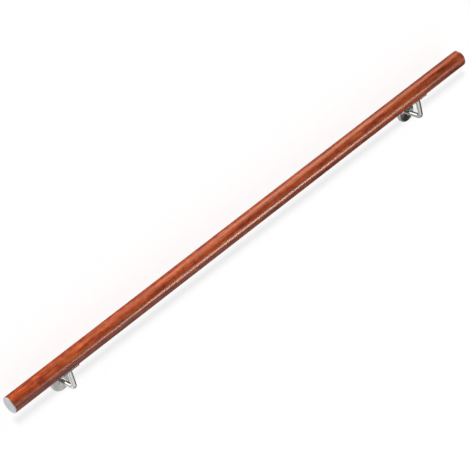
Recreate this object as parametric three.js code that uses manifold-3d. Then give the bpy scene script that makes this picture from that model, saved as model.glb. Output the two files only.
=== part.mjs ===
// A wall-mounted grab rail: a steel tube in a wood-grain wrap, closed by two end caps and carried by two
// bent-rod wall brackets. Millimetres. +X runs along the rail and +Z is up. The wall is the plane y = 0, with
// the room on its -Y side, and the origin is the centre of the left wall flange's back.
import * as THREE from "three";
import { mergeVertices } from "three/addons/utils/BufferGeometryUtils.js";
import Module from "manifold-3d";

// The whole rail
const RAIL_LENGTH = 1500; // over both end caps
const RAIL_RADIUS = 21; // over the wrap
const RAIL_OUT = 56; // wall to rail axis
const RAIL_UP = 75; // flange centre to rail axis
const BRACKET_SPACING = 1170;

// Tube and wrap
const WRAP_THICKNESS = 0.4;
const GLUE_GAP = 0.1;
const TUBE_WALL = 1.5;
const TUBE_RADIUS = RAIL_RADIUS - WRAP_THICKNESS - GLUE_GAP;
const BORE_RADIUS = TUBE_RADIUS - TUBE_WALL;

// End caps: a disc with a hollow spigot, held in the bore by a ribbed grip ring
const CAP_DISC = 2;
const CAP_EDGE = 1.5;
const SPIGOT_LENGTH = 16;
const SPIGOT_RADIUS = 16.6;
const SPIGOT_WALL = 1.6;
const RING_START = 3; // from the disc's inner face
const RING_LENGTH = 9;
const RING_SEAT = 0.8; // depth of the ring's seat in the spigot
const RING_RIBS = 3;
const RING_RIB_HEIGHT = 0.8;
const RUNNING_GAP = 0.15;

// Bracket: bent rod, welded to a wall flange below and to a saddle plate above
const ROD_RADIUS = 6;
const BEND_RADIUS = 10; // at the rod's centreline
const FLANGE_RADIUS = 25.6;
const FLANGE_THICKNESS = 4;
const WELD_LEG = 2;
const SADDLE_THICKNESS = 3;
const SADDLE_LENGTH = 50;
const SADDLE_CORNER = 6;
const SADDLE_HALF_ANGLE = THREE.MathUtils.degToRad(32);
const SADDLE_GAP = 0.1; // between wrap and saddle
const SADDLE_RADIUS = RAIL_RADIUS + SADDLE_GAP + SADDLE_THICKNESS; // over its underside
const COPE_GAP = 0.2; // between the rod's end and the saddle's underside

// Cover rosette: a drawn cup that slides along the rod
const COVER_RADIUS = 27;
const COVER_HEIGHT = 8;
const COVER_SHEET = 1;
const COVER_EDGE = 3.5; // outer radius of the rounded rim
const COVER_HOLE_RADIUS = 6.35;

// Raised countersunk screws
const SCREW_DOME = 1;
const SCREW_HOLE_CLEARANCE = 0.25;
const RECESS = { length: 4.4, width: 1.1, depth: 1.8 };
const WALL_SCREW = { headRadius: 4.5, shankRadius: 2.5, length: 50, tip: 6 };
const WALL_SCREW_CIRCLE = 17;
const WALL_SCREW_ANGLES = { top: 90, lower_left: 210, lower_right: 330 };
const SADDLE_SCREW = { headRadius: 4.5, shankRadius: 2.4, length: 13, tip: 3 };
const SADDLE_SCREW_OFFSET = 16;
const SADDLE_SCREW_SIDES = { outer: -1, inner: 1 };

const RAIL_SEGMENTS = 48;
const ROD_SEGMENTS = 24;
const SCREW_SEGMENTS = 16;
const ARC_STEPS = 3;
const BEND_STEPS = 9;
const QUARTER = Math.PI / 2;

const WOOD_GRAIN = new THREE.MeshStandardMaterial({ color: 0x97401f, roughness: 0.35, metalness: 0 });
const BRUSHED = new THREE.MeshStandardMaterial({ color: 0xc3c4c2, roughness: 0.35, metalness: 1 });
const BARE_TUBE = new THREE.MeshStandardMaterial({ color: 0xa9abac, roughness: 0.45, metalness: 1 });
const ZINC = new THREE.MeshStandardMaterial({ color: 0xb6b8b4, roughness: 0.4, metalness: 1 });
const NYLON = new THREE.MeshStandardMaterial({ color: 0x2b2c2e, roughness: 0.6, metalness: 0 });

const wasm = await Module();
wasm.setup();

// A closed geometry as a solid that can be joined and cut.
function solid(geometry) {
  geometry.deleteAttribute("normal");
  geometry.deleteAttribute("uv");
  const merged = mergeVertices(geometry);
  return new wasm.Manifold(
    new wasm.Mesh({
      numProp: 3,
      vertProperties: merged.attributes.position.array,
      triVerts: new Uint32Array(merged.index.array),
    }),
  );
}

// A named mesh of a solid.
function piece(name, body, material) {
  const { vertProperties, triVerts } = body.getMesh();
  const geometry = new THREE.BufferGeometry();
  geometry.setAttribute("position", new THREE.BufferAttribute(vertProperties, 3));
  geometry.setIndex(new THREE.BufferAttribute(triVerts, 1));
  const mesh = new THREE.Mesh(geometry, material);
  mesh.name = name;
  return mesh;
}

// A shape turned about the Y axis from [radius, y] points.
function turned(profile, segments) {
  return new THREE.LatheGeometry(profile.map(([r, y]) => new THREE.Vector2(r, y)), segments);
}

// Points of a quarter-round edge from angle `from`, turning towards `to`, as [radius, y] pairs.
function edgeArc(centreR, centreY, radius, from, to) {
  return Array.from({ length: ARC_STEPS + 1 }, (_, i) => {
    const angle = from + ((to - from) * i) / ARC_STEPS;
    return [centreR + radius * Math.cos(angle), centreY + radius * Math.sin(angle)];
  });
}

function circle(radius) {
  return new THREE.Shape().absarc(0, 0, radius, 0, 2 * Math.PI);
}

// A pipe along X, centred on the origin.
function pipe(outerRadius, innerRadius, length) {
  const section = circle(outerRadius);
  section.holes.push(circle(innerRadius));
  const geometry = new THREE.ExtrudeGeometry(section, {
    depth: length,
    bevelEnabled: false,
    curveSegments: RAIL_SEGMENTS / 2,
  });
  return solid(geometry.translate(0, 0, -length / 2).rotateY(QUARTER));
}

// A plain round bar about Y, centred on the origin.
function bar(radius, length, segments) {
  return solid(new THREE.CylinderGeometry(radius, radius, length, segments));
}

// Where the saddle screws stand along the rail, measured from the rail's middle.
function saddleScrewPlaces() {
  return [-BRACKET_SPACING / 2, BRACKET_SPACING / 2].flatMap((x) =>
    Object.values(SADDLE_SCREW_SIDES).map((side) => x + side * SADDLE_SCREW_OFFSET),
  );
}

// A pipe with the four saddle-screw holes through its underside.
function drilledPipe(outerRadius, innerRadius) {
  const drill = bar(SADDLE_SCREW.shankRadius + SCREW_HOLE_CLEARANCE, 2 * RAIL_RADIUS, SCREW_SEGMENTS)
    .rotate([90, 0, 0]);
  return saddleScrewPlaces().reduce(
    (body, x) => body.subtract(drill.translate(x, 0, -RAIL_RADIUS)),
    pipe(outerRadius, innerRadius, RAIL_LENGTH - 2 * CAP_DISC),
  );
}

// An end cap about Y, its disc's inner face on y = 0 and its spigot pointing to -Y.
function endCap() {
  const spigotInner = SPIGOT_RADIUS - SPIGOT_WALL;
  const seat = SPIGOT_RADIUS - RING_SEAT;
  return turned(
    [
      [0, 0],
      [spigotInner, 0],
      [spigotInner, -SPIGOT_LENGTH],
      [SPIGOT_RADIUS, -SPIGOT_LENGTH],
      [SPIGOT_RADIUS, -RING_START - RING_LENGTH - RUNNING_GAP],
      [seat, -RING_START - RING_LENGTH - RUNNING_GAP],
      [seat, -RING_START + RUNNING_GAP],
      [SPIGOT_RADIUS, -RING_START + RUNNING_GAP],
      [SPIGOT_RADIUS, 0],
      [RAIL_RADIUS, 0],
      [RAIL_RADIUS, CAP_DISC - CAP_EDGE],
      [RAIL_RADIUS - CAP_EDGE, CAP_DISC],
      [0, CAP_DISC],
    ],
    RAIL_SEGMENTS,
  );
}

// The ribbed ring that grips the tube's bore, about Y, in the end cap's own frame.
function gripRing() {
  const inner = SPIGOT_RADIUS - RING_SEAT + RUNNING_GAP;
  const crest = BORE_RADIUS - RUNNING_GAP;
  const root = crest - RING_RIB_HEIGHT;
  const pitch = RING_LENGTH / RING_RIBS;
  const end = -RING_START - RING_LENGTH;
  const ribs = Array.from({ length: RING_RIBS }, (_, i) => [
    [root, end + i * pitch],
    [crest, end + (i + 0.7) * pitch],
  ]).flat();
  const profile = [[inner, end], ...ribs, [root, -RING_START], [inner, -RING_START], [inner, end]];
  return turned(profile, ROD_SEGMENTS);
}

// A raised countersunk screw about Y: its head's rim on y = 0, its tip towards +Y.
function screw({ headRadius, shankRadius, length, tip }) {
  const cone = headRadius - shankRadius;
  const body = solid(
    turned(
      [
        [0, -SCREW_DOME],
        [headRadius * 0.7, -SCREW_DOME * 0.6],
        [headRadius, 0],
        [shankRadius, cone],
        [shankRadius, length - tip],
        [0, length],
      ],
      SCREW_SEGMENTS,
    ),
  );
  const slot = (width, depth) =>
    solid(new THREE.BoxGeometry(width, RECESS.depth + SCREW_DOME, depth));
  const cross = slot(RECESS.length, RECESS.width).add(slot(RECESS.width, RECESS.length));
  return body.subtract(cross.translate(0, (RECESS.depth - SCREW_DOME) / 2 - SCREW_DOME, 0));
}

// What a countersunk screw needs cut away, about Y: a bore and a cone open towards -Y.
function screwHole({ headRadius, shankRadius }, depth) {
  const bore = shankRadius + SCREW_HOLE_CLEARANCE;
  const mouth = headRadius + SCREW_HOLE_CLEARANCE;
  const cone = [[mouth, -SCREW_DOME], [mouth, 0], [bore, mouth - bore]];
  return solid(turned([[0, -SCREW_DOME], ...cone, [bore, depth], [0, depth]], SCREW_SEGMENTS));
}

// Centre of one wall screw on the flange, as [x, z].
function wallScrewPlace(degrees) {
  const angle = THREE.MathUtils.degToRad(degrees);
  return [WALL_SCREW_CIRCLE * Math.cos(angle), WALL_SCREW_CIRCLE * Math.sin(angle)];
}

// The round plate on the wall, its back on y = 0, with three countersunk holes.
function wallFlange() {
  const disc = bar(FLANGE_RADIUS, FLANGE_THICKNESS, RAIL_SEGMENTS).translate(0, -FLANGE_THICKNESS / 2, 0);
  const hole = screwHole(WALL_SCREW, 2 * FLANGE_THICKNESS);
  return Object.values(WALL_SCREW_ANGLES).reduce((body, degrees) => {
    const [x, z] = wallScrewPlace(degrees);
    return body.subtract(hole.translate(x, -FLANGE_THICKNESS, z));
  }, disc);
}

// The rod's centreline: straight out from the flange, a quarter bend, then straight up to the saddle. Its
// parameter takes one step over each straight and the others evenly over the bend.
class RodPath extends THREE.Curve {
  getPoint(t) {
    const step = t * (BEND_STEPS + 2);
    const angle = THREE.MathUtils.clamp((step - 1) / BEND_STEPS, 0, 1) * QUARTER;
    const turn = new THREE.Vector3(
      0,
      BEND_RADIUS - RAIL_OUT - BEND_RADIUS * Math.sin(angle),
      BEND_RADIUS - BEND_RADIUS * Math.cos(angle),
    );
    const before = Math.max(0, 1 - step);
    const after = Math.max(0, step - 1 - BEND_STEPS);
    turn.y += before * (RAIL_OUT - BEND_RADIUS - FLANGE_THICKNESS);
    turn.z += after * (RAIL_UP - BEND_RADIUS - RAIL_RADIUS);
    return turn;
  }

  getUtoTmapping(u) {
    return u;
  }
}

// The bent rod with a weld collar at each end, its top coped to the saddle's underside.
function supportRod() {
  const rod = solid(
    new THREE.ExtrudeGeometry(circle(ROD_RADIUS), {
      steps: BEND_STEPS + 2,
      curveSegments: ROD_SEGMENTS / 2,
      extrudePath: new RodPath(),
    }),
  );
  const weld = solid(
    turned([[0, -WELD_LEG], [ROD_RADIUS, -WELD_LEG], [ROD_RADIUS + WELD_LEG, 0], [0, 0]], ROD_SEGMENTS),
  );
  const saddleSpace = bar(SADDLE_RADIUS + COPE_GAP, SADDLE_LENGTH, RAIL_SEGMENTS).rotate([0, 0, 90]);
  return rod
    .add(weld.translate(0, -FLANGE_THICKNESS, 0))
    .add(weld.rotate([90, 0, 0]).translate(0, -RAIL_OUT, RAIL_UP - SADDLE_RADIUS))
    .subtract(saddleSpace.translate(0, -RAIL_OUT, RAIL_UP));
}

// The curved plate under the rail, centred below the origin with the rail's axis along X.
function saddlePlate() {
  const inner = RAIL_RADIUS + SADDLE_GAP;
  const section = new THREE.Shape()
    .absarc(0, 0, SADDLE_RADIUS, -SADDLE_HALF_ANGLE, SADDLE_HALF_ANGLE)
    .absarc(0, 0, inner, SADDLE_HALF_ANGLE, -SADDLE_HALF_ANGLE, true);
  const plate = solid(
    new THREE.ExtrudeGeometry(section, { depth: SADDLE_LENGTH, bevelEnabled: false, curveSegments: 8 })
      .translate(0, 0, -SADDLE_LENGTH / 2)
      .rotateY(QUARTER),
  );
  const hole = screwHole(SADDLE_SCREW, 2 * SADDLE_THICKNESS).rotate([90, 0, 0]);
  return Object.values(SADDLE_SCREW_SIDES).reduce(
    (body, side) => body.subtract(hole.translate(side * SADDLE_SCREW_OFFSET, 0, -SADDLE_RADIUS)),
    plate.intersect(saddleOutline()),
  );
}

// A tall block with the saddle's rounded outline, seen from below.
function saddleOutline() {
  const halfLength = SADDLE_LENGTH / 2;
  const halfWidth = SADDLE_RADIUS * Math.sin(SADDLE_HALF_ANGLE);
  const corners = [[1, -1], [1, 1], [-1, 1], [-1, -1]];
  const outline = new THREE.Shape();
  corners.forEach(([x, y], i) => {
    const start = (i - 1) * QUARTER;
    const centre = [x * (halfLength - SADDLE_CORNER), y * (halfWidth - SADDLE_CORNER)];
    outline.absarc(...centre, SADDLE_CORNER, start, start + QUARTER);
  });
  return solid(
    new THREE.ExtrudeGeometry(outline, { depth: 2 * RAIL_RADIUS, bevelEnabled: false, curveSegments: 6 }),
  ).translate(0, 0, -2 * RAIL_RADIUS);
}

// The drawn cup over the flange, its open rim on y = 0.
function coverRosette() {
  const face = -COVER_HEIGHT;
  const innerEdge = COVER_EDGE - COVER_SHEET;
  const arcR = COVER_RADIUS - COVER_EDGE;
  const arcY = COVER_EDGE - COVER_HEIGHT;
  return turned(
    [
      [COVER_HOLE_RADIUS, face],
      ...edgeArc(arcR, arcY, COVER_EDGE, -QUARTER, 0),
      [COVER_RADIUS, 0],
      [COVER_RADIUS - COVER_SHEET, 0],
      ...edgeArc(arcR, arcY, innerEdge, 0, -QUARTER),
      [COVER_HOLE_RADIUS, face + COVER_SHEET],
      [COVER_HOLE_RADIUS, face],
    ],
    RAIL_SEGMENTS,
  );
}

// The rail about its own middle: tube, wrap, end caps and grip rings.
function railAssembly() {
  const rail = new THREE.Group();
  rail.add(piece("rail_tube", drilledPipe(TUBE_RADIUS, BORE_RADIUS), BARE_TUBE));
  rail.add(piece("wood_grain_wrap", drilledPipe(RAIL_RADIUS, RAIL_RADIUS - WRAP_THICKNESS), WOOD_GRAIN));
  for (const [side, direction] of [["left", -1], ["right", 1]]) {
    const end = new THREE.Group();
    end.position.x = direction * (RAIL_LENGTH / 2 - CAP_DISC);
    end.rotation.z = -direction * QUARTER;
    end.add(piece(`${side}_end_cap`, solid(endCap()), BRUSHED));
    end.add(piece(`${side}_cap_grip_ring`, solid(gripRing()), NYLON));
    rail.add(end);
  }
  rail.position.set(BRACKET_SPACING / 2, -RAIL_OUT, RAIL_UP);
  return rail;
}

// One wall bracket, its flange's back centred on the origin.
function bracket(side) {
  const group = new THREE.Group();
  group.add(piece(`${side}_wall_flange`, wallFlange(), BRUSHED));
  group.add(piece(`${side}_support_rod`, supportRod(), BRUSHED));
  group.add(piece(`${side}_cover_rosette`, solid(coverRosette()), BRUSHED));
  for (const [place, degrees] of Object.entries(WALL_SCREW_ANGLES)) {
    const [x, z] = wallScrewPlace(degrees);
    const wallScrew = piece(`${side}_wall_screw_${place}`, screw(WALL_SCREW), ZINC);
    wallScrew.position.set(x, -FLANGE_THICKNESS, z);
    group.add(wallScrew);
  }
  const underRail = new THREE.Group();
  underRail.position.set(0, -RAIL_OUT, RAIL_UP);
  underRail.add(piece(`${side}_saddle_plate`, saddlePlate(), BRUSHED));
  const outward = side === "left" ? 1 : -1;
  for (const [place, direction] of Object.entries(SADDLE_SCREW_SIDES)) {
    const saddleScrew = piece(`${side}_saddle_screw_${place}`, screw(SADDLE_SCREW), ZINC);
    saddleScrew.rotation.x = QUARTER;
    saddleScrew.position.set(outward * direction * SADDLE_SCREW_OFFSET, 0, -SADDLE_RADIUS);
    underRail.add(saddleScrew);
  }
  group.add(underRail);
  return group;
}

const grabRail = new THREE.Group();
grabRail.add(railAssembly());
const leftBracket = bracket("left");
const rightBracket = bracket("right");
rightBracket.position.x = BRACKET_SPACING;
grabRail.add(leftBracket, rightBracket);

export default grabRail;
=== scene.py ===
import math

import bmesh
import bpy
from mathutils import Matrix, Vector, geometry


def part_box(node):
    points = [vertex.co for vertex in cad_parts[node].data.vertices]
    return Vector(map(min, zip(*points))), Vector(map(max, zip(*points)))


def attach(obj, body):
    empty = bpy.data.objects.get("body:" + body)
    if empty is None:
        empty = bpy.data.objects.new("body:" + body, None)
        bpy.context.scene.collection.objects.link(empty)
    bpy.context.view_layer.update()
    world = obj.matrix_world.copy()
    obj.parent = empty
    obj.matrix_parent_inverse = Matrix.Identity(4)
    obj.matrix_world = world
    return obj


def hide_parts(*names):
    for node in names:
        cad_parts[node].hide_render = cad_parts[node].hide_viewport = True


# A wall-mounted grab rail. Metres: +X runs along the rail, +Y into the wall, +Z up, and the wall is y = 0.
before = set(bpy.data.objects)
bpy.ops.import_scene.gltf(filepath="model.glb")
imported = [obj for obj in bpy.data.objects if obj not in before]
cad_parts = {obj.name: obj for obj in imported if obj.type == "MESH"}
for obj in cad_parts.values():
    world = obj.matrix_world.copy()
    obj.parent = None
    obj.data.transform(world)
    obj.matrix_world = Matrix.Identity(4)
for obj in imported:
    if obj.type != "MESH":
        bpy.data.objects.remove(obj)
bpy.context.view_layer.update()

MM = 0.001
X_AXIS, Y_AXIS, Z_AXIS = Vector((1, 0, 0)), Vector((0, 1, 0)), Vector((0, 0, 1))
SIDES = {"left": -1, "right": 1}
WALL_SCREW_NAMES = ("top", "lower_left", "lower_right")
SADDLE_SCREW_NAMES = ("outer", "inner")


def middle(name):
    """The centre of a CAD node's box."""
    low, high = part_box(name)
    return (low + high) / 2


def half_size(name):
    """Half the size of a CAD node's box along each axis."""
    low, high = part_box(name)
    return (high - low) / 2


# Sizes read from the frame.
RAIL = middle("wood_grain_wrap")
RAIL_RADIUS = half_size("wood_grain_wrap").z
WRAP_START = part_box("wood_grain_wrap")[0].x
WRAP_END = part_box("wood_grain_wrap")[1].x
FLANGE_THICKNESS = 2 * half_size("left_wall_flange").y

# Sizes that a box doesn't show, as in the CAD. A screw's plain neck and its pitch are only drawn here.
WRAP_THICKNESS = 0.4 * MM
CAP_DISC = 2 * MM
CAP_EDGE = 1.5 * MM
SPIGOT_RADIUS = 16.6 * MM
SPIGOT_BORE = 15 * MM
SPIGOT_LENGTH = 16 * MM
RING_START = 3 * MM
RING_LENGTH = 9 * MM
RING_RIBS = 3
RING_SEAT_RADIUS = 15.8 * MM
RING_INNER_RADIUS = 15.95 * MM
RING_GAP = 0.15 * MM
ROD_RADIUS = 6 * MM
BEND_RADIUS = 10 * MM
WELD_LEG = 2 * MM
SADDLE_GAP = 0.1 * MM
SADDLE_THICKNESS = 3 * MM
SADDLE_RADIUS = RAIL_RADIUS + SADDLE_GAP + SADDLE_THICKNESS
SADDLE_HALF_ANGLE = 32  # degrees
SADDLE_CORNER = 6 * MM
COVER_SHEET = 1 * MM
COVER_RIM = 3.5 * MM
COVER_HOLE = 6.35 * MM
HOLE_MOUTH = 4.75 * MM
FLANGE_HOLE = 2.75 * MM
SADDLE_HOLE = 2.65 * MM
HEAD_RADIUS = 4.5 * MM
HEAD_DOME = 1 * MM
WALL_SCREW = {"shank": 2.5 * MM, "length": 50 * MM, "plain": 9 * MM, "pitch": 2.6 * MM, "tip": 7 * MM}
SADDLE_SCREW = {"shank": 2.4 * MM, "length": 13 * MM, "plain": 2.4 * MM, "pitch": 1.5 * MM, "tip": 3 * MM}


# ---------------------------------------------------------------- meshes

def add_piece(name, vertices, faces, material, body="rail", nodes=None, sharp=35):
    """A smooth-shaded piece that rides on a body and stands for its CAD node."""
    mesh = bpy.data.meshes.new(name)
    mesh.from_pydata([tuple(v) for v in vertices], [], faces)
    shape = bmesh.new()
    shape.from_mesh(mesh)
    bmesh.ops.recalc_face_normals(shape, faces=shape.faces)
    shape.to_mesh(mesh)
    shape.free()
    mesh.polygons.foreach_set("use_smooth", [True] * len(mesh.polygons))
    mesh.set_sharp_from_angle(angle=math.radians(sharp))
    mesh.materials.append(material)
    piece = bpy.data.objects.new(name, mesh)
    bpy.context.scene.collection.objects.link(piece)
    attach(piece, body)
    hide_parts(*(nodes or [name]))
    return piece


def full_turn(count):
    """Angles spread evenly round a circle."""
    return [2 * math.pi * i / count for i in range(count)]


def loft(rings, closed=False):
    """Vertices and faces through rings of points. A ring of one point is a pole; closed joins the last ring
    to the first."""
    vertices, starts = [], []
    for ring in rings:
        starts.append(len(vertices))
        vertices.extend(ring)
    faces = []
    pairs = list(zip(range(len(rings) - 1), range(1, len(rings))))
    if closed:
        pairs.append((len(rings) - 1, 0))
    for a, b in pairs:
        count = max(len(rings[a]), len(rings[b]))
        for i in range(count):
            j = (i + 1) % count
            lower = [starts[a] + i, starts[a] + j] if len(rings[a]) > 1 else [starts[a]]
            upper = [starts[b] + j, starts[b] + i] if len(rings[b]) > 1 else [starts[b]]
            faces.append(lower + upper)
    return vertices, faces


def turned(profile, segments, origin, axis, across, closed=False):
    """A shape turned about an axis from (radius, distance along the axis) points."""
    side = axis.cross(across)
    turns = full_turn(segments)
    rings = []
    for radius, along in profile:
        centre = origin + axis * along
        if radius == 0:
            rings.append([centre])
        else:
            rings.append([centre + (across * math.cos(a) + side * math.sin(a)) * radius for a in turns])
    return loft(rings, closed)


def arc(radius, centre, start, end, steps=6):
    """Points on an arc in a profile, angles in degrees."""
    angles = [math.radians(start + (end - start) * i / steps) for i in range(steps + 1)]
    return [(centre[0] + radius * math.cos(a), centre[1] + radius * math.sin(a)) for a in angles]


def circle_outline(radius, count=96):
    """A round outline, as a function of how far it is drawn in."""
    def outline(inset):
        return [((radius - inset) * math.cos(a), (radius - inset) * math.sin(a)) for a in full_turn(count)]
    return outline


def rounded_outline(half_length, half_width, corner, steps=10, along=24, across=12):
    """An outline with rounded corners and points spread along its straight sides, as a function of how far
    it is drawn in."""
    def outline(inset):
        points = []
        corners = [(1, -1), (1, 1), (-1, 1), (-1, -1)]
        centres = [(x * (half_length - corner), y * (half_width - corner)) for x, y in corners]
        for i, centre in enumerate(centres):
            points += arc(corner - inset, centre, -90 + 90 * i, 90 * i, steps)
            start = Vector(points[-1])
            following = centres[(i + 1) % 4]
            end = Vector(arc(corner - inset, following, 90 * i, 90 * i, 1)[0])
            count = across if i % 2 == 0 else along
            points += [tuple(start.lerp(end, k / count)) for k in range(1, count)]
        return points
    return outline


def filled(loops, circles, spacing):
    """Triangles that fill the first loop outside the others, which are circles (x, y, radius). Points inside
    it lie on a grid of the given spacing, clear of the loops."""
    drawn_in, nearly, weld_distance = 0.97, 0.98, 1e-9
    points, edges = [], []
    for loop in loops:
        first = len(points)
        points += [Vector(p) for p in loop]
        edges += [(first + i, first + (i + 1) % len(loop)) for i in range(len(loop))]
    reach_x = max(p[0] for p in loops[0])
    reach_y = max(p[1] for p in loops[0])
    border = [p.copy() for p in points]
    across, up = int(reach_x / spacing), int(reach_y / spacing)
    inner = [p * drawn_in for p in points[:len(loops[0])]]
    for i in range(-across, across + 1):
        for j in range(-up, up + 1):
            point = Vector((i * spacing, j * spacing))
            if any((point - Vector(c[:2])).length < c[2] + spacing / 2 for c in circles):
                continue
            if not is_inside(point, inner) or min((point - q).length for q in border) < spacing / 2:
                continue
            points.append(point)
    made, _, faces, origins, _, _ = geometry.delaunay_2d_cdt(points, edges, [], 0, weld_distance)
    kept = []
    for face in faces:
        centre = sum((made[i] for i in face), Vector((0, 0))) / len(face)
        if not any((centre - Vector(c[:2])).length < c[2] * nearly for c in circles):
            kept.append([origins[i][0] for i in face])
    return points, kept


def is_inside(point, polygon):
    """Whether a point is inside a convex polygon that runs anticlockwise."""
    inside = True
    for i, a in enumerate(polygon):
        b = polygon[(i + 1) % len(polygon)]
        inside = inside and (b - a).cross(point - a) > 0
    return inside


def plate(outline, edge, holes, place, spacing, hole_points=40):
    """A plate with shaped edges and holes. edge is (inset, depth) points from front to back; each hole is
    (x, y, profile) with (radius, depth) points from front to back; place maps (x, y, depth) to space."""
    vertices, faces = [], []
    turns = full_turn(hole_points)

    def hole_loop(hole, step):
        x, y, profile = hole
        radius = profile[step][0]
        return [(x + radius * math.cos(a), y + radius * math.sin(a)) for a in turns]

    ends = {}
    for end in (0, -1):
        inset, depth = edge[end]
        loops = [outline(inset)] + [hole_loop(hole, end) for hole in holes]
        circles = [(x, y, profile[end][0]) for x, y, profile in holes]
        points, triangles = filled(loops, circles, spacing)
        first = len(vertices)
        vertices += [place(p[0], p[1], depth) for p in points]
        faces += [[first + i for i in t] for t in triangles]
        starts, start = [], first
        for loop in loops:
            starts.append(start)
            start += len(loop)
        ends[end] = starts

    def wall(rings, front, back):
        """Joins the front loop to the back loop through rings of points."""
        count = len(rings[0])
        starts = [front]
        for ring in rings[1:-1]:
            starts.append(len(vertices))
            vertices.extend(ring)
        starts.append(back)
        for a, b in zip(starts, starts[1:]):
            for i in range(count):
                j = (i + 1) % count
                faces.append([a + i, a + j, b + j, b + i])

    rim = [[place(x, y, depth) for x, y in outline(inset)] for inset, depth in edge]
    wall(rim, ends[0][0], ends[-1][0])
    for number, hole in enumerate(holes, 1):
        rings = []
        for step, (_, depth) in enumerate(hole[2]):
            rings.append([place(x, y, depth) for x, y in hole_loop(hole, step)])
        wall(rings, ends[0][number], ends[-1][number])
    return vertices, faces


# ---------------------------------------------------------------- materials

def node(tree, kind, inputs=None, **settings):
    """A shader node; an input given as a socket is linked."""
    made = tree.nodes.new(kind)
    for key, value in settings.items():
        setattr(made, key, value)
    set_inputs(tree, made, inputs or {})
    return made


def set_inputs(tree, shader, values):
    """Sets a node's inputs, and links those given as sockets."""
    for key, value in values.items():
        if isinstance(value, bpy.types.NodeSocket):
            tree.links.new(value, shader.inputs[key])
        else:
            shader.inputs[key].default_value = value


def math_node(tree, operation, a, b=0.0, clamp=False):
    return node(tree, "ShaderNodeMath", {0: a, 1: b}, operation=operation, use_clamp=clamp).outputs[0]


def add(tree, first, *others):
    """The sum of numbers and sockets."""
    for other in others:
        first = math_node(tree, "ADD", first, other)
    return first


def times(tree, first, *others):
    """The product of numbers and sockets."""
    for other in others:
        first = math_node(tree, "MULTIPLY", first, other)
    return first


def noise_node(tree, vector, scale=1.0, detail=2.0, roughness=0.5, distortion=0.0):
    values = {
        "Vector": vector,
        "Scale": scale,
        "Detail": detail,
        "Roughness": roughness,
        "Distortion": distortion,
    }
    return node(tree, "ShaderNodeTexNoise", values).outputs["Fac"]


def ramp(tree, value, stops):
    """A colour ramp with (position, colour or grey level) stops."""
    made = node(tree, "ShaderNodeValToRGB", {"Fac": value})
    elements = made.color_ramp.elements
    while len(elements) < len(stops):
        elements.new(0.5)
    for element, (position, colour) in zip(elements, stops):
        element.position = position
        element.color = (*colour, 1) if isinstance(colour, tuple) else (colour, colour, colour, 1)
    return made.outputs["Color"]


def mix_colour(tree, factor, a, b, blend="MIX"):
    made = node(tree, "ShaderNodeMix", {0: factor, 6: a, 7: b}, data_type="RGBA", blend_type=blend)
    return made.outputs[2]


def material_tree(name):
    """A new material, its node tree and its main shader."""
    material = bpy.data.materials.new(name)
    material.use_nodes = True
    return material, material.node_tree, material.node_tree.nodes["Principled BSDF"]


def stretched(tree, scale):
    """The object's own coordinates, scaled along each axis."""
    place = node(tree, "ShaderNodeTexCoord").outputs["Object"]
    return node(tree, "ShaderNodeMapping", {"Vector": place, "Scale": scale}).outputs["Vector"]


def bump(tree, height, strength, distance):
    values = {"Height": height, "Strength": strength, "Distance": distance}
    return node(tree, "ShaderNodeBump", values).outputs[0]


def wood_film():
    """Mahogany print: long streaks in broad light and dark figure, short pores, under a semi-gloss coat."""
    material, tree, shader = material_tree("mahogany_film")
    figure = noise_node(tree, stretched(tree, (7, 34, 34)), detail=3, roughness=0.55, distortion=0.8)
    streaks = noise_node(tree, stretched(tree, (10, 210, 210)), detail=5, roughness=0.6, distortion=0.3)
    fine = noise_node(tree, stretched(tree, (34, 900, 900)), detail=3, roughness=0.6)
    ripple = noise_node(tree, stretched(tree, (60, 75, 75)), detail=2, roughness=0.5, distortion=0.4)
    pores = noise_node(tree, stretched(tree, (160, 1500, 1500)), detail=1, roughness=0.4)
    tone = add(tree, times(tree, figure, 0.22), times(tree, streaks, 0.66), times(tree, ripple, 0.32))
    tone = math_node(tree, "SUBTRACT", tone, 0.082)
    colour = ramp(tree, tone, [
        (0.34, (0.105, 0.0100, 0.0022)),
        (0.44, (0.225, 0.0255, 0.0050)),
        (0.53, (0.330, 0.0490, 0.0085)),
        (0.66, (0.500, 0.0980, 0.0165)),
    ])
    grain = ramp(tree, fine, [(0.30, 0.72), (0.62, 1.0)])
    colour = mix_colour(tree, 1.0, colour, grain, "MULTIPLY")
    pore = ramp(tree, pores, [(0.27, 0.35), (0.36, 1.0)])
    colour = mix_colour(tree, 0.7, colour, pore, "MULTIPLY")
    relief = add(tree, times(tree, fine, 0.6), times(tree, streaks, 0.8))
    gloss = node(tree, "ShaderNodeMapRange", {"Value": streaks, "To Min": 0.35, "To Max": 0.5}).outputs[0]
    set_inputs(tree, shader, {
        "Base Color": colour,
        "Roughness": gloss,
        "Specular IOR Level": 0.15,
        "Specular Tint": (1.0, 0.60, 0.35, 1),
        "Coat Weight": 1.0,
        "Coat Roughness": 0.27,
        "Coat IOR": 1.5,
        "Normal": bump(tree, relief, 0.2, 0.03 * MM),
    })
    return material


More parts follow.
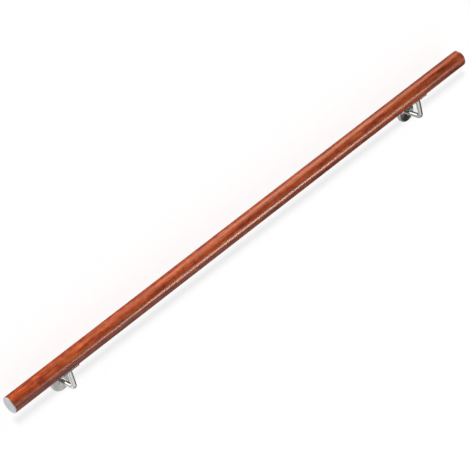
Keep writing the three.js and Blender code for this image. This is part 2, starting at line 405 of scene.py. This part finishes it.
def steel(name, colour, roughness, stretch, turned_about=None, anisotropy=0.0, relief=0.02 * MM):
    """Stainless steel: fine polishing lines, faint smudges and a little colour drift."""
    mottling, smudge_gloss, line_gloss = 0.06, 0.10, 0.08
    material, tree, shader = material_tree(name)
    lines = noise_node(tree, stretched(tree, stretch), detail=3, roughness=0.65)
    smudges = noise_node(tree, stretched(tree, (60, 60, 60)), detail=4, roughness=0.6, distortion=0.5)
    low = tuple(c * (1 - mottling) for c in colour)
    high = tuple(min(1.0, c * (1 + mottling)) for c in colour)
    tint = ramp(tree, smudges, [(0.35, low), (0.65, high)])
    brushed = ramp(tree, lines, [(0.3, 1 - mottling), (0.7, 1.0)])
    spread = add(tree, times(tree, smudges, smudge_gloss), times(tree, lines, line_gloss))
    spread = add(tree, spread, roughness - (smudge_gloss + line_gloss) / 2)
    set_inputs(tree, shader, {
        "Base Color": mix_colour(tree, 1.0, tint, brushed, "MULTIPLY"),
        "Metallic": 1.0,
        "Roughness": spread,
        "Anisotropic": anisotropy,
        "Anisotropic Rotation": 0.25,
        "Normal": bump(tree, lines, 0.2, relief),
    })
    if turned_about:
        tangent = node(tree, "ShaderNodeTangent", direction_type="RADIAL", axis=turned_about)
        tree.links.new(tangent.outputs[0], shader.inputs["Tangent"])
    return material


def moulded(name, colour, roughness):
    """Moulded plastic with a fine spark-eroded texture."""
    material, tree, shader = material_tree(name)
    texture = noise_node(tree, stretched(tree, (2500, 2500, 2500)), detail=2)
    wear = noise_node(tree, stretched(tree, (300, 300, 300)), detail=3)
    low = tuple(c * 0.7 for c in colour)
    high = tuple(c * 1.5 for c in colour)
    set_inputs(tree, shader, {
        "Base Color": ramp(tree, wear, [(0.35, low), (0.65, high)]),
        "Roughness": roughness,
        "Normal": bump(tree, texture, 0.3, 0.03 * MM),
    })
    return material


WOOD = wood_film()
CAP_STEEL = steel(
    "satin_cap_steel", (0.530, 0.538, 0.548), 0.38, (900, 900, 900), turned_about="X", anisotropy=0.3)
ROD_STEEL = steel("polished_rod_steel", (0.68, 0.67, 0.64), 0.15, (700, 700, 140))
PLATE_STEEL = steel("polished_plate_steel", (0.62, 0.61, 0.59), 0.24, (120, 900, 900))
ROSETTE_STEEL = steel(
    "turned_rosette_steel", (0.58, 0.58, 0.57), 0.28, (300, 300, 300), turned_about="Y", anisotropy=0.8,
    relief=0.002 * MM)
TUBE_METAL = steel("drawn_tube_metal", (0.60, 0.61, 0.62), 0.42, (60, 900, 900))
SCREW_STEEL = steel("bright_screw_steel", (0.55, 0.56, 0.55), 0.3, (1500, 1500, 1500))
NYLON = moulded("ribbed_grip_nylon", (0.030, 0.031, 0.034), 0.55)


# ---------------------------------------------------------------- the rail

def build_wrap():
    """The film round the tube, its outer corners just broken."""
    corner, stations = 0.15 * MM, 30
    length = WRAP_END - WRAP_START
    inner = RAIL_RADIUS - WRAP_THICKNESS
    outside = [(RAIL_RADIUS, corner + (length - 2 * corner) * i / stations) for i in range(stations + 1)]
    profile = [
        (RAIL_RADIUS - corner, 0),
        *outside,
        (RAIL_RADIUS - corner, length),
        (inner, length),
        (inner, 0),
    ]
    origin = Vector((WRAP_START, RAIL.y, RAIL.z))
    vertices, faces = turned(profile, 160, origin, X_AXIS, Z_AXIS, closed=True)
    add_piece("wood_grain_wrap", vertices, faces, WOOD)


def build_end_cap(side, origin, axis):
    """A disc with a rounded rim and a hollow spigot, with a seat for the ring; distances run outwards."""
    seat_start = RING_START - RING_GAP
    seat_end = RING_START + RING_LENGTH + RING_GAP
    chamfer, corner, lead_in = 1 * MM, 0.3 * MM, 0.5 * MM
    profile = [
        (0, 0),
        (SPIGOT_BORE - chamfer, 0),
        (SPIGOT_BORE, -chamfer),
        (SPIGOT_BORE, -SPIGOT_LENGTH + corner),
        (SPIGOT_BORE + corner, -SPIGOT_LENGTH),
        (SPIGOT_RADIUS - lead_in, -SPIGOT_LENGTH),
        (SPIGOT_RADIUS, -SPIGOT_LENGTH + chamfer),
        (SPIGOT_RADIUS, -seat_end),
        (RING_SEAT_RADIUS, -seat_end),
        (RING_SEAT_RADIUS, -seat_start),
        (SPIGOT_RADIUS, -seat_start),
        (SPIGOT_RADIUS, 0),
        (RAIL_RADIUS - corner, 0),
        (RAIL_RADIUS, corner),
        *arc(CAP_EDGE, (RAIL_RADIUS - CAP_EDGE, CAP_DISC - CAP_EDGE), 0, 90, 8),
        (RAIL_RADIUS - 4 * MM, CAP_DISC),
        (8 * MM, CAP_DISC),
        (0, CAP_DISC),
    ]
    vertices, faces = turned(profile, 128, origin, axis, Z_AXIS)
    add_piece(f"{side}_end_cap", vertices, faces, CAP_STEEL)


def build_grip_ring(side, origin, axis):
    """The ribbed ring that grips the tube's bore. Each rib slopes up towards the disc, to a round crest."""
    crest, rib = 18.75 * MM, 0.9 * MM
    pitch = RING_LENGTH / RING_RIBS
    round_off = 0.12 * pitch
    inner_end = -RING_START - RING_LENGTH
    profile = [(RING_INNER_RADIUS, inner_end)]
    for i in range(RING_RIBS):
        base = inner_end + i * pitch
        profile += [(crest - rib, base + 0.05 * pitch), (crest - 0.25 * rib, base + 0.6 * pitch)]
        profile += arc(round_off, (crest - round_off, base + 0.75 * pitch), 45, -45, 4)[::-1]
    profile += [(crest - rib, -RING_START), (RING_INNER_RADIUS, -RING_START)]
    vertices, faces = turned(profile, 96, origin, axis, Z_AXIS, closed=True)
    add_piece(f"{side}_cap_grip_ring", vertices, faces, NYLON)


def build_end(side, direction):
    """The end cap and the grip ring of one end of the rail."""
    origin = Vector((WRAP_END if direction > 0 else WRAP_START, RAIL.y, RAIL.z))
    axis = X_AXIS * direction
    build_end_cap(side, origin, axis)
    build_grip_ring(side, origin, axis)


# ---------------------------------------------------------------- the brackets

def build_flange(side, centre):
    """The round plate on the wall, with its countersunk holes."""
    radius = half_size(f"{side}_wall_flange").x
    chamfer, corner, lip = 0.8 * MM, 0.2 * MM, 0.15 * MM
    hole = [
        (HOLE_MOUTH + lip, 0),
        (HOLE_MOUTH, lip),
        (FLANGE_HOLE, HOLE_MOUTH - FLANGE_HOLE),
        (FLANGE_HOLE, FLANGE_THICKNESS - corner),
        (FLANGE_HOLE + corner, FLANGE_THICKNESS),
    ]
    screws = [middle(f"{side}_wall_screw_{name}") for name in WALL_SCREW_NAMES]
    holes = [(screw.x - centre.x, screw.z - centre.z, hole) for screw in screws]
    edge = [
        (chamfer, 0),
        (chamfer * 0.3, chamfer * 0.3),
        (0, chamfer),
        (0, FLANGE_THICKNESS - corner),
        (corner, FLANGE_THICKNESS),
    ]

    def place(x, y, depth):
        return Vector((centre.x + x, -FLANGE_THICKNESS + depth, centre.z + y))

    vertices, faces = plate(circle_outline(radius), edge, holes, place, 2.5 * MM)
    add_piece(f"{side}_wall_flange", vertices, faces, PLATE_STEEL, sharp=25)


def build_saddle(side, centre):
    """The curved plate: x runs along the rail and y round it, on its underside."""
    half_length = half_size(f"{side}_saddle_plate").x
    half_width = SADDLE_RADIUS * math.radians(SADDLE_HALF_ANGLE)
    soft, corner = 0.7 * MM, 0.2 * MM
    hole = [
        (HOLE_MOUTH + 0.2 * MM, 0),
        (HOLE_MOUTH, 0.15 * MM),
        (SADDLE_HOLE, HOLE_MOUTH - SADDLE_HOLE),
        (SADDLE_HOLE, SADDLE_THICKNESS),
    ]
    screws = [middle(f"{side}_saddle_screw_{name}") for name in SADDLE_SCREW_NAMES]
    holes = [(screw.x - centre.x, 0, hole) for screw in screws]
    edge = [(soft * (1 - math.sin(a)), soft * (1 - math.cos(a))) for a in (0, 0.4, 0.8, 1.2, math.pi / 2)]
    edge += [(0, SADDLE_THICKNESS - corner), (corner, SADDLE_THICKNESS)]

    def place(x, y, depth):
        turn = y / SADDLE_RADIUS
        radius = SADDLE_RADIUS - depth
        return Vector((centre.x + x, RAIL.y + radius * math.sin(turn), RAIL.z - radius * math.cos(turn)))

    outline = rounded_outline(half_length, half_width, SADDLE_CORNER)
    vertices, faces = plate(outline, edge, holes, place, 1.6 * MM)
    add_piece(f"{side}_saddle_plate", vertices, faces, PLATE_STEEL, sharp=25)


def weld_bead(distance, turn, ripples=20):
    """How far a weld stands out from the rod at a distance from the plate: a fillet with rippled beads."""
    if distance >= WELD_LEG:
        return 0.0
    share = distance / WELD_LEG
    fillet = WELD_LEG * (1 - share) ** 1.4
    swell = math.sin(math.pi * min(1, share * 1.15))
    ripple = 0.14 * MM * swell * abs(math.sin(ripples * turn / 2 + share))
    return fillet + ripple


def build_rod(side, centre):
    """The bent rod: out from the flange along -Y, round the bend, then up to the saddle."""
    segments, weld_rings, bend_rings = 80, 7, 28
    turns = full_turn(segments)
    plain = [ROD_RADIUS] * segments
    bend_centre = Vector((centre.x, RAIL.y + BEND_RADIUS, BEND_RADIUS))
    start = -FLANGE_THICKNESS
    saddle_low = RAIL.z - SADDLE_RADIUS
    weld_steps = [WELD_LEG * k / weld_rings for k in range(weld_rings + 1)]

    def welded(distance):
        return [ROD_RADIUS + weld_bead(distance, t) for t in turns]

    def section(point, heading, radii):
        """A ring round a point of the path; heading 0 points along -Y and 90 along +Z."""
        a = math.radians(heading)
        up = Vector((0, math.sin(a), math.cos(a)))
        return [point + (X_AXIS * math.cos(t) + up * math.sin(t)) * r for t, r in zip(turns, radii)]

    def coped(distance, radii, share):
        """A ring this far below the saddle, following its curved underside by the given share."""
        ring = []
        for t, r in zip(turns, radii):
            x, y = r * math.cos(t), -r * math.sin(t)
            curved = RAIL.z - math.sqrt(SADDLE_RADIUS ** 2 - y ** 2)
            height = saddle_low + (curved - saddle_low) * share - distance
            ring.append(Vector((centre.x + x, RAIL.y - y, height)))
        return ring

    rings = [[Vector((centre.x, start, 0))]]
    for distance in weld_steps:
        rings.append(section(Vector((centre.x, start - distance, 0)), 0, welded(distance)))
    for share in (0.12, 0.4, 0.7, 0.95):
        y = (start - WELD_LEG) * (1 - share) + bend_centre.y * share
        rings.append(section(Vector((centre.x, y, 0)), 0, plain))
    for i in range(bend_rings + 1):
        heading = 90 * i / bend_rings
        a = math.radians(heading)
        point = bend_centre + Vector((0, -math.sin(a), -math.cos(a))) * BEND_RADIUS
        rings.append(section(point, heading, plain))
    for distance, share in ((32 * MM, 0), (20 * MM, 0), (10 * MM, 0.1), (6 * MM, 0.5), (3.5 * MM, 0.9)):
        rings.append(coped(distance, plain, share))
    for distance in reversed(weld_steps):
        rings.append(coped(distance, welded(distance), 1))
    rings.append([Vector((centre.x, RAIL.y, saddle_low))])
    vertices, faces = loft(rings)
    add_piece(f"{side}_support_rod", vertices, faces, ROD_STEEL, sharp=50)


def build_cover(side, centre):
    """The drawn cup that hides the flange: a flat face, a rounded rim and a rounded edge round the rod."""
    radius = half_size(f"{side}_cover_rosette").x
    height = 2 * half_size(f"{side}_cover_rosette").y
    inside = height - COVER_SHEET
    rim_centre = (radius - COVER_RIM, height - COVER_RIM)
    profile = [
        (COVER_HOLE, height - 0.45 * MM),
        (COVER_HOLE + 0.12 * MM, height - 0.12 * MM),
        (COVER_HOLE + 0.5 * MM, height),
        (COVER_HOLE + 3 * MM, height),
        (14 * MM, height),
        (19 * MM, height),
        (radius - COVER_RIM - 1 * MM, height),
        *arc(COVER_RIM, rim_centre, 90, 0, 14),
        (radius, 2 * MM),
        (radius, 0.25 * MM),
        (radius - 0.25 * MM, 0),
        (radius - COVER_SHEET + 0.2 * MM, 0),
        (radius - COVER_SHEET, 0.2 * MM),
        (radius - COVER_SHEET, 2 * MM),
        *arc(COVER_RIM - COVER_SHEET, rim_centre, 0, 90, 8),
        (14 * MM, inside),
        (COVER_HOLE + 0.2 * MM, inside),
        (COVER_HOLE, inside + 0.2 * MM),
    ]
    vertices, faces = turned(profile, 144, Vector((centre.x, 0, 0)), -Y_AXIS, X_AXIS, closed=True)
    name = f"{side}_cover_rosette"
    return add_piece(name, vertices, faces, ROSETTE_STEEL, f"{side}_cover")


def recess_depth(radius, turn):
    """Depth of a cross recess in a screw head at a place on it."""
    reach, core = 2.3 * MM, 0.8 * MM
    if radius > reach:
        return 0.0
    if radius < core:
        return 1.8 * MM
    off = abs((math.degrees(turn) + 45) % 90 - 45)
    flute = 1 - min(1, max(0, (off - 13) / 7))
    taper = 1 - 0.35 * radius / reach
    return 1.7 * MM * taper * flute


def build_screw(name, head, axis, across, shank, length, plain, pitch, tip):
    """A raised countersunk screw: cross recess, cone, plain neck and a rolled helical thread."""
    segments, rings_per_turn = 48, 8
    turns = full_turn(segments)
    side = axis.cross(across)
    ball = (HEAD_RADIUS ** 2 + HEAD_DOME ** 2) / (2 * HEAD_DOME)
    core, point = shank * 0.7, 0.12 * MM
    rings = []

    def ring(alongs, radii):
        rings.append([head + axis * h + (across * math.cos(t) + side * math.sin(t)) * r
                      for h, t, r in zip(alongs, turns, radii)])

    def round_ring(along, radius):
        ring([along] * segments, [radius] * segments)

    rings.append([head + axis * (1.8 * MM - HEAD_DOME)])
    for r in (0.5, 0.79, 0.95, 1.4, 1.9, 2.2, 2.32, 2.8, 3.4, 3.9, 4.2, 4.4):
        radius = r * MM
        top = ball - HEAD_DOME - math.sqrt(ball ** 2 - radius ** 2)
        ring([top + recess_depth(radius, t) for t in turns], [radius] * segments)
    round_ring(0.0, HEAD_RADIUS)
    round_ring(0.12 * MM, HEAD_RADIUS)
    round_ring(HEAD_RADIUS - shank, shank)
    round_ring(plain, shank)
    steps = int((length - plain) / pitch * rings_per_turn)
    for i in range(1, steps):
        along = plain + (length - plain) * i / steps
        fade_in = min(1.0, (along - plain) / pitch)
        fade_out = min(1.0, (length - along) / tip)
        radii = []
        for t in turns:
            phase = (along / pitch - t / (2 * math.pi)) % 1.0
            crest = max(0.0, 1 - abs(phase - 0.5) / 0.28)
            thread = core + (shank - core) * crest
            body = shank * (1 - fade_in) + thread * fade_in
            radii.append(max(point, body * fade_out ** 0.8))
        ring([along] * segments, radii)
    rings.append([head + axis * length])
    vertices, faces = loft(rings)
    add_piece(name, vertices, faces, SCREW_STEEL, sharp=40)


def build_bracket(side):
    """One bracket with its screws; gives back its rosette."""
    centre = middle(f"{side}_wall_flange")
    centre = Vector((centre.x, 0, centre.z))
    build_flange(side, centre)
    build_saddle(side, centre)
    build_rod(side, centre)
    rosette = build_cover(side, centre)
    for spot in WALL_SCREW_NAMES:
        name = f"{side}_wall_screw_{spot}"
        head = middle(name)
        head.y = -FLANGE_THICKNESS
        build_screw(name, head, Y_AXIS, Z_AXIS, **WALL_SCREW)
    for spot in SADDLE_SCREW_NAMES:
        name = f"{side}_saddle_screw_{spot}"
        head = middle(name)
        head.z = RAIL.z - SADDLE_RADIUS
        build_screw(name, head, Z_AXIS, X_AXIS, **SADDLE_SCREW)
    return rosette


build_wrap()
rosettes = {}
for side, direction in SIDES.items():
    build_end(side, direction)
    rosettes[side] = build_bracket(side)

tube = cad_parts["rail_tube"]
tube.data.materials.clear()
tube.data.materials.append(TUBE_METAL)


# ---------------------------------------------------------------- stage, lights and camera

WALL_Y = 0.3 * MM
FLOOR_Z = -1.5
WHITE = (1, 1, 1, 1)
WARM = (1.0, 0.86, 0.68)


def position(tree):
    """The x, y and z of the shaded point."""
    place = node(tree, "ShaderNodeTexCoord").outputs["Object"]
    return node(tree, "ShaderNodeSeparateXYZ", {"Vector": place}).outputs


def bell(tree, value, centre, reach):
    """A smooth bump: 1 at the centre, 0 from the reach outwards."""
    away = math_node(tree, "DIVIDE", math_node(tree, "SUBTRACT", value, centre), reach)
    rest = math_node(tree, "SUBTRACT", 1.0, times(tree, away, away), clamp=True)
    return times(tree, rest, rest)


def smooth_step(tree, value, start, end, low=0.0, high=1.0):
    """A smooth step from low at the start to high at the end."""
    values = {"Value": value, "From Min": start, "From Max": end, "To Min": low, "To Max": high}
    return node(tree, "ShaderNodeMapRange", values, interpolation_type="SMOOTHSTEP").outputs[0]


def between(tree, share, a, b):
    """a where the share is 0 and b where it is 1."""
    return add(tree, times(tree, a, math_node(tree, "SUBTRACT", 1.0, share)), times(tree, b, share))


def sector(tree, incoming_x, incoming_z, angle, start, end, level):
    """A level for rays that head a given way round the wall's normal, in degrees from +X towards +Z. start
    and end are cosines of the angle off it where the level begins and where it is full."""
    squares = add(tree, times(tree, incoming_x, incoming_x), times(tree, incoming_z, incoming_z))
    length = math_node(tree, "SQRT", squares)
    turn = math.radians(angle)
    along = add(tree, times(tree, incoming_x, -math.cos(turn)), times(tree, incoming_z, -math.sin(turn)))
    return smooth_step(tree, math_node(tree, "DIVIDE", along, length), start, end, 0.0, level)


def glow(tree, level, colour=WHITE):
    return node(tree, "ShaderNodeEmission", {"Strength": level, "Color": colour}).outputs[0]


def mix_shader(tree, factor, a, b):
    """Shader a where the factor is 0 and b where it is 1."""
    return node(tree, "ShaderNodeMixShader", {0: factor, 1: a, 2: b}).outputs[0]


def stage_mesh(name, vertices, faces, material, towards=None):
    """A mesh of the stage. Its faces are turned towards a point if one is given."""
    mesh = bpy.data.meshes.new(name)
    mesh.from_pydata([tuple(v) for v in vertices], [], faces)
    mesh.polygons.foreach_set("use_smooth", [True] * len(mesh.polygons))
    first = mesh.polygons[0]
    if towards is not None and (Vector(towards) - first.center).dot(first.normal) < 0:
        mesh.flip_normals()
    mesh.materials.append(material)
    thing = bpy.data.objects.new(name, mesh)
    bpy.context.scene.collection.objects.link(thing)
    return thing


def wall_reflection(tree, x, z, towards_x, towards_z):
    """How bright metal and gloss see the wall. Low down it is dim but for two sectors of directions and a
    patch just past the rail's right end. From the height of the rail upwards it is dim except well to the
    left of whatever mirrors it, and higher still it is bright round the right half of the rail. Rays that
    run nearly along the rail see little of it."""
    upper = sector(tree, towards_x, towards_z, 125, 0.77, 0.94, 1.7)
    lower = sector(tree, towards_x, towards_z, 235, 0.45, 0.80, 0.95)
    lower = times(tree, lower, smooth_step(tree, x, 0.7, 1.0, 1.0, 0.45))
    past_end = times(tree, bell(tree, x, 1.385, 0.055), 0.9)
    low = add(tree, upper, 0.10, lower, past_end)
    is_high = smooth_step(tree, z, 0.075, 0.115)
    banded = between(tree, is_high, low, 0.15)
    lifted = times(tree, smooth_step(tree, z, 0.12, 0.24, 0.0, 4.1), bell(tree, x, 0.90, 1.10))
    from_left = times(tree, smooth_step(tree, towards_x, 0.15, 0.45, 0.0, 2.5), is_high)
    slant = math_node(tree, "ABSOLUTE", towards_x)
    damping = smooth_step(tree, slant, 0.80, 0.95, 1.0, 0.2)
    return times(tree, add(tree, banded, lifted, from_left), damping)


def floor_reflection(tree, x, y):
    """How bright metal and gloss see the floor: it falls off in two steps from left to right, and is dimmer
    near the wall."""
    left_step = smooth_step(tree, x, 0.3, 0.75, 0.35, 0.0)
    right_step = smooth_step(tree, x, 1.35, 1.9, 0.62, 0.10)
    return times(tree, add(tree, left_step, right_step), smooth_step(tree, y, -1.15, -0.75, 1.0, 0.45))


def backdrop_material():
    """White paper to the camera, an even grey to soft light, and patches of light to reflections. It is clear
    from behind and never blocks a lamp."""
    material, tree, shader = material_tree("backdrop_paper")
    tree.nodes.remove(shader)
    x, y, z = position(tree)
    paths = node(tree, "ShaderNodeLightPath").outputs
    surface = node(tree, "ShaderNodeNewGeometry").outputs
    towards_x, _, towards_z = node(tree, "ShaderNodeSeparateXYZ", {"Vector": surface["Incoming"]}).outputs

    wall = wall_reflection(tree, x, z, towards_x, towards_z)
    is_floor = smooth_step(tree, z, FLOOR_Z + 0.5, FLOOR_Z + 0.2)
    level = between(tree, is_floor, wall, floor_reflection(tree, x, y))
    warmth = smooth_step(tree, z, 0.12, 0.24)
    reflected = glow(tree, level, mix_colour(tree, warmth, WHITE, (*WARM, 1)))

    fleck = noise_node(tree, stretched(tree, (40, 40, 40)), detail=2)
    paper = node(tree, "ShaderNodeBsdfDiffuse", {"Color": ramp(tree, fleck, [(0.3, 0.46), (0.7, 0.48)])})
    lit = node(tree, "ShaderNodeAddShader", {0: paper.outputs[0], 1: glow(tree, 0.64)}).outputs[0]
    unseen = mix_shader(tree, paths["Is Glossy Ray"], glow(tree, 0.42), reflected)
    seen = mix_shader(tree, paths["Is Camera Ray"], unseen, lit)
    hidden = math_node(tree, "MAXIMUM", surface["Backfacing"], paths["Is Shadow Ray"])
    clear = node(tree, "ShaderNodeBsdfTransparent").outputs[0]
    mixed = mix_shader(tree, hidden, seen, clear)
    tree.links.new(mixed, tree.nodes["Material Output"].inputs["Surface"])
    material.cycles.emission_sampling = "NONE"
    return material


def build_backdrop():
    """A wall that runs down through a cove into a floor."""
    top, reach, cove, half_width, steps = 4.0, -4.5, 0.4, 12, 12
    turns = [math.pi / 2 * i / steps for i in range(steps + 1)]
    profile = [(WALL_Y, top)]
    for a in turns:
        profile.append((WALL_Y - cove + cove * math.cos(a), FLOOR_Z + cove - cove * math.sin(a)))
    profile.append((reach, FLOOR_Z))
    sides = (RAIL.x - half_width, RAIL.x + half_width)
    vertices = [Vector((x, y, z)) for y, z in profile for x in sides]
    faces = [[2 * i, 2 * i + 2, 2 * i + 3, 2 * i + 1] for i in range(len(profile) - 1)]
    return stage_mesh("backdrop", vertices, faces, backdrop_material(), towards=(RAIL.x, -1, 0))


def card(name, centre, facing, size, level, reach=None, colour=(1, 1, 1), sampled=False):
    """A flat card that only shows in reflections. One with a reach is bright in its middle and fades to black
    that far across and up. A strong one is sampled as a lamp; the others are only met by reflected rays."""
    material, tree, shader = material_tree(name)
    tree.nodes.remove(shader)
    centre, facing = Vector(centre), Vector(facing).normalized()
    across = Z_AXIS.cross(facing).normalized() if abs(facing.z) < 0.9 else X_AXIS.copy()
    up = facing.cross(across)
    shade = (*colour, 1)
    if reach:
        place = node(tree, "ShaderNodeTexCoord").outputs["Object"]
        offset = node(tree, "ShaderNodeVectorMath", {0: place, 1: centre}, operation="SUBTRACT").outputs[0]
        bells = []
        for axis, distance in ((across, reach[0]), (up, reach[1])):
            along = node(tree, "ShaderNodeVectorMath", {0: offset, 1: axis}, operation="DOT_PRODUCT")
            bells.append(bell(tree, along.outputs[1], 0.0, distance))
        shade = mix_colour(tree, times(tree, *bells), (0, 0, 0, 1), shade)
    tree.links.new(glow(tree, level, shade), tree.nodes["Material Output"].inputs["Surface"])
    material.cycles.emission_sampling = "AUTO" if sampled else "NONE"
    width, height = size
    corners = [(-1, -1), (1, -1), (1, 1), (-1, 1)]
    vertices = [centre + across * (a * width / 2) + up * (b * height / 2) for a, b in corners]
    thing = stage_mesh(name, vertices, [[0, 1, 2, 3]], material)
    thing.visible_camera = thing.visible_diffuse = thing.visible_shadow = False
    return thing


def light_group(name, thing, state="INCLUDE"):
    """A light-linking collection for one thing: only that thing, or everything but it."""
    group = bpy.data.collections.new(name)
    group.objects.link(thing)
    group.collection_objects[0].light_linking.link_state = state
    return group


def build_cards():
    """The soft boxes and the dark board that shape the reflections in the film and the steel. Seen from the
    front, the right rosette's face mirrors the front box and would be plain white, so it has a small card
    of its own instead."""
    rosette = rosettes["right"]
    front_box = card(
        "front_box", (1.22, -1.30, -0.15), (-0.4, 1, 0.1), (2.1, 0.46), 21.0, reach=(1.05, 0.22),
        colour=(1.0, 0.93, 0.85), sampled=True)
    front_box.light_linking.receiver_collection = light_group("not_right_rosette", rosette, "EXCLUDE")
    rosette_card = card(
        "rosette_card", (1.46, -1.29, -0.45), (-0.21, 0.92, 0.32), (0.34, 0.34), 60.0, reach=(0.17, 0.17),
        sampled=True)
    rosette_card.light_linking.receiver_collection = light_group("right_rosette", rosette)
    card("top_box", (1.3, -0.25, 1.6), (0, 0, -1), (2.2, 0.9), 2.6, reach=(1.1, 0.45), colour=WARM)
    card("key_box", (-1.5, -1.7, 1.6), (1.0, 1.0, -0.9), (1.0, 1.0), 4.0, reach=(0.5, 0.5))
    card("dark_board", (1.70, -0.74, -0.63), (-0.5, 0.7, 0.5), (0.55, 0.5), 0.02)


def lamp_object(name, light, place, target):
    """A lamp at a place, aimed at a target and unseen by the camera."""
    lamp = bpy.data.objects.new(name, light)
    bpy.context.scene.collection.objects.link(lamp)
    lamp.location = place
    lamp.rotation_mode = "QUATERNION"
    lamp.rotation_quaternion = (Vector(target) - Vector(place)).to_track_quat("-Z", "Y")
    lamp.visible_camera = False
    return lamp


def build_lamps(backdrop):
    """Soft boxes that light the object, and a sun that lights only the backdrop and draws the shadow."""
    on_object = light_group("lit_object", backdrop, "EXCLUDE")
    boxes = [
        ("key", (-0.6, 0.4, 2.3), 1.0, 0.7, 38.0),
        ("left_fill", (-1.9, -1.5, 1.0), 0.8, 0.8, 4.0),
        ("right_fill", (2.7, -1.7, -0.3), 0.9, 0.9, 9.0),
    ]
    for name, place, width, height, level in boxes:
        light = bpy.data.lights.new(name, "AREA")
        light.shape = "RECTANGLE"
        light.size, light.size_y = width, height
        light.energy = level * math.pi * width * height
        lamp = lamp_object(name, light, place, RAIL)
        lamp.visible_glossy = False
        lamp.light_linking.receiver_collection = on_object

    sun = bpy.data.lights.new("backdrop_sun", "SUN")
    sun.angle = math.radians(6)
    sun.energy = 0.76 * math.pi
    lamp = lamp_object("backdrop_sun", sun, (0, 0, 0), (0.8, 1.0, -1.71))
    lamp.light_linking.receiver_collection = light_group("lit_backdrop", backdrop)
    lamp.light_linking.blocker_collection = light_group("shadow_casters", build_shadow_rod())


def build_shadow_rod():
    """A thin unseen bar along the rail's axis that draws the soft line of shadow on the backdrop."""
    radius, extra = 5 * MM, 18 * MM
    length = WRAP_END - WRAP_START + 2 * extra
    profile = [(0, 0), (radius, 0), (radius, length), (0, length)]
    vertices, faces = turned(profile, 24, Vector((WRAP_START - extra, RAIL.y, RAIL.z)), X_AXIS, Z_AXIS)
    rod = stage_mesh("shadow_rod", vertices, faces, bpy.data.materials.new("shadow_black"))
    rod.visible_camera = rod.visible_diffuse = rod.visible_glossy = False
    return rod


def build_world():
    """White to the eye and an even grey for soft light. In reflections it is a dim room, paler below and
    behind the wall."""
    world = bpy.data.worlds.new("studio")
    world.use_nodes = True
    tree = world.node_tree
    paths = node(tree, "ShaderNodeLightPath").outputs
    direction = node(tree, "ShaderNodeTexCoord").outputs["Generated"]
    _, behind, height = node(tree, "ShaderNodeSeparateXYZ", {"Vector": direction}).outputs
    paler_below = smooth_step(tree, height, -0.2, 0.15, 0.30, 0.12)
    room = add(tree, paler_below, smooth_step(tree, behind, 0.1, 0.5, 0.0, 0.5))
    level = mix_colour(tree, paths["Is Glossy Ray"], (0.40, 0.40, 0.40, 1), room)
    colour = mix_colour(tree, paths["Is Camera Ray"], level, WHITE)
    tree.links.new(colour, tree.nodes["Background"].inputs["Color"])
    bpy.context.scene.world = world


def build_camera():
    """A camera that looks towards the rail's middle, rolled about its view and moved a little across it."""
    azimuth, elevation, roll = math.radians(-35.68), math.radians(34.79), math.radians(-15.48)
    lens, sensor, distance = 158.0, 36, 4.777
    shift_right, shift_up = -0.0374, -0.0377
    out = math.cos(elevation)
    back = Vector((math.sin(azimuth) * out, -math.cos(azimuth) * out, math.sin(elevation)))
    right = Vector((math.cos(azimuth), math.sin(azimuth), 0))
    up = back.cross(right)
    rolled_right = right * math.cos(roll) + up * math.sin(roll)
    rolled_up = up * math.cos(roll) - right * math.sin(roll)
    data = bpy.data.cameras.new("camera")
    data.lens, data.sensor_width = lens, sensor
    data.clip_end = 50
    camera = bpy.data.objects.new("camera", data)
    bpy.context.scene.collection.objects.link(camera)
    place = RAIL + back * distance + rolled_right * shift_right + rolled_up * shift_up
    camera.matrix_world = Matrix((
        (rolled_right.x, rolled_up.x, back.x, place.x),
        (rolled_right.y, rolled_up.y, back.y, place.y),
        (rolled_right.z, rolled_up.z, back.z, place.z),
        (0, 0, 0, 1),
    ))
    bpy.context.scene.camera = camera


build_lamps(build_backdrop())
build_cards()
build_world()
build_camera()
bpy.context.scene.view_settings.view_transform = "Standard"
bpy.context.scene.cycles.use_denoising = True
bpy.context.scene.cycles.denoising_input_passes = "RGB"
bpy.context.scene.cycles.sample_clamp_direct = 3
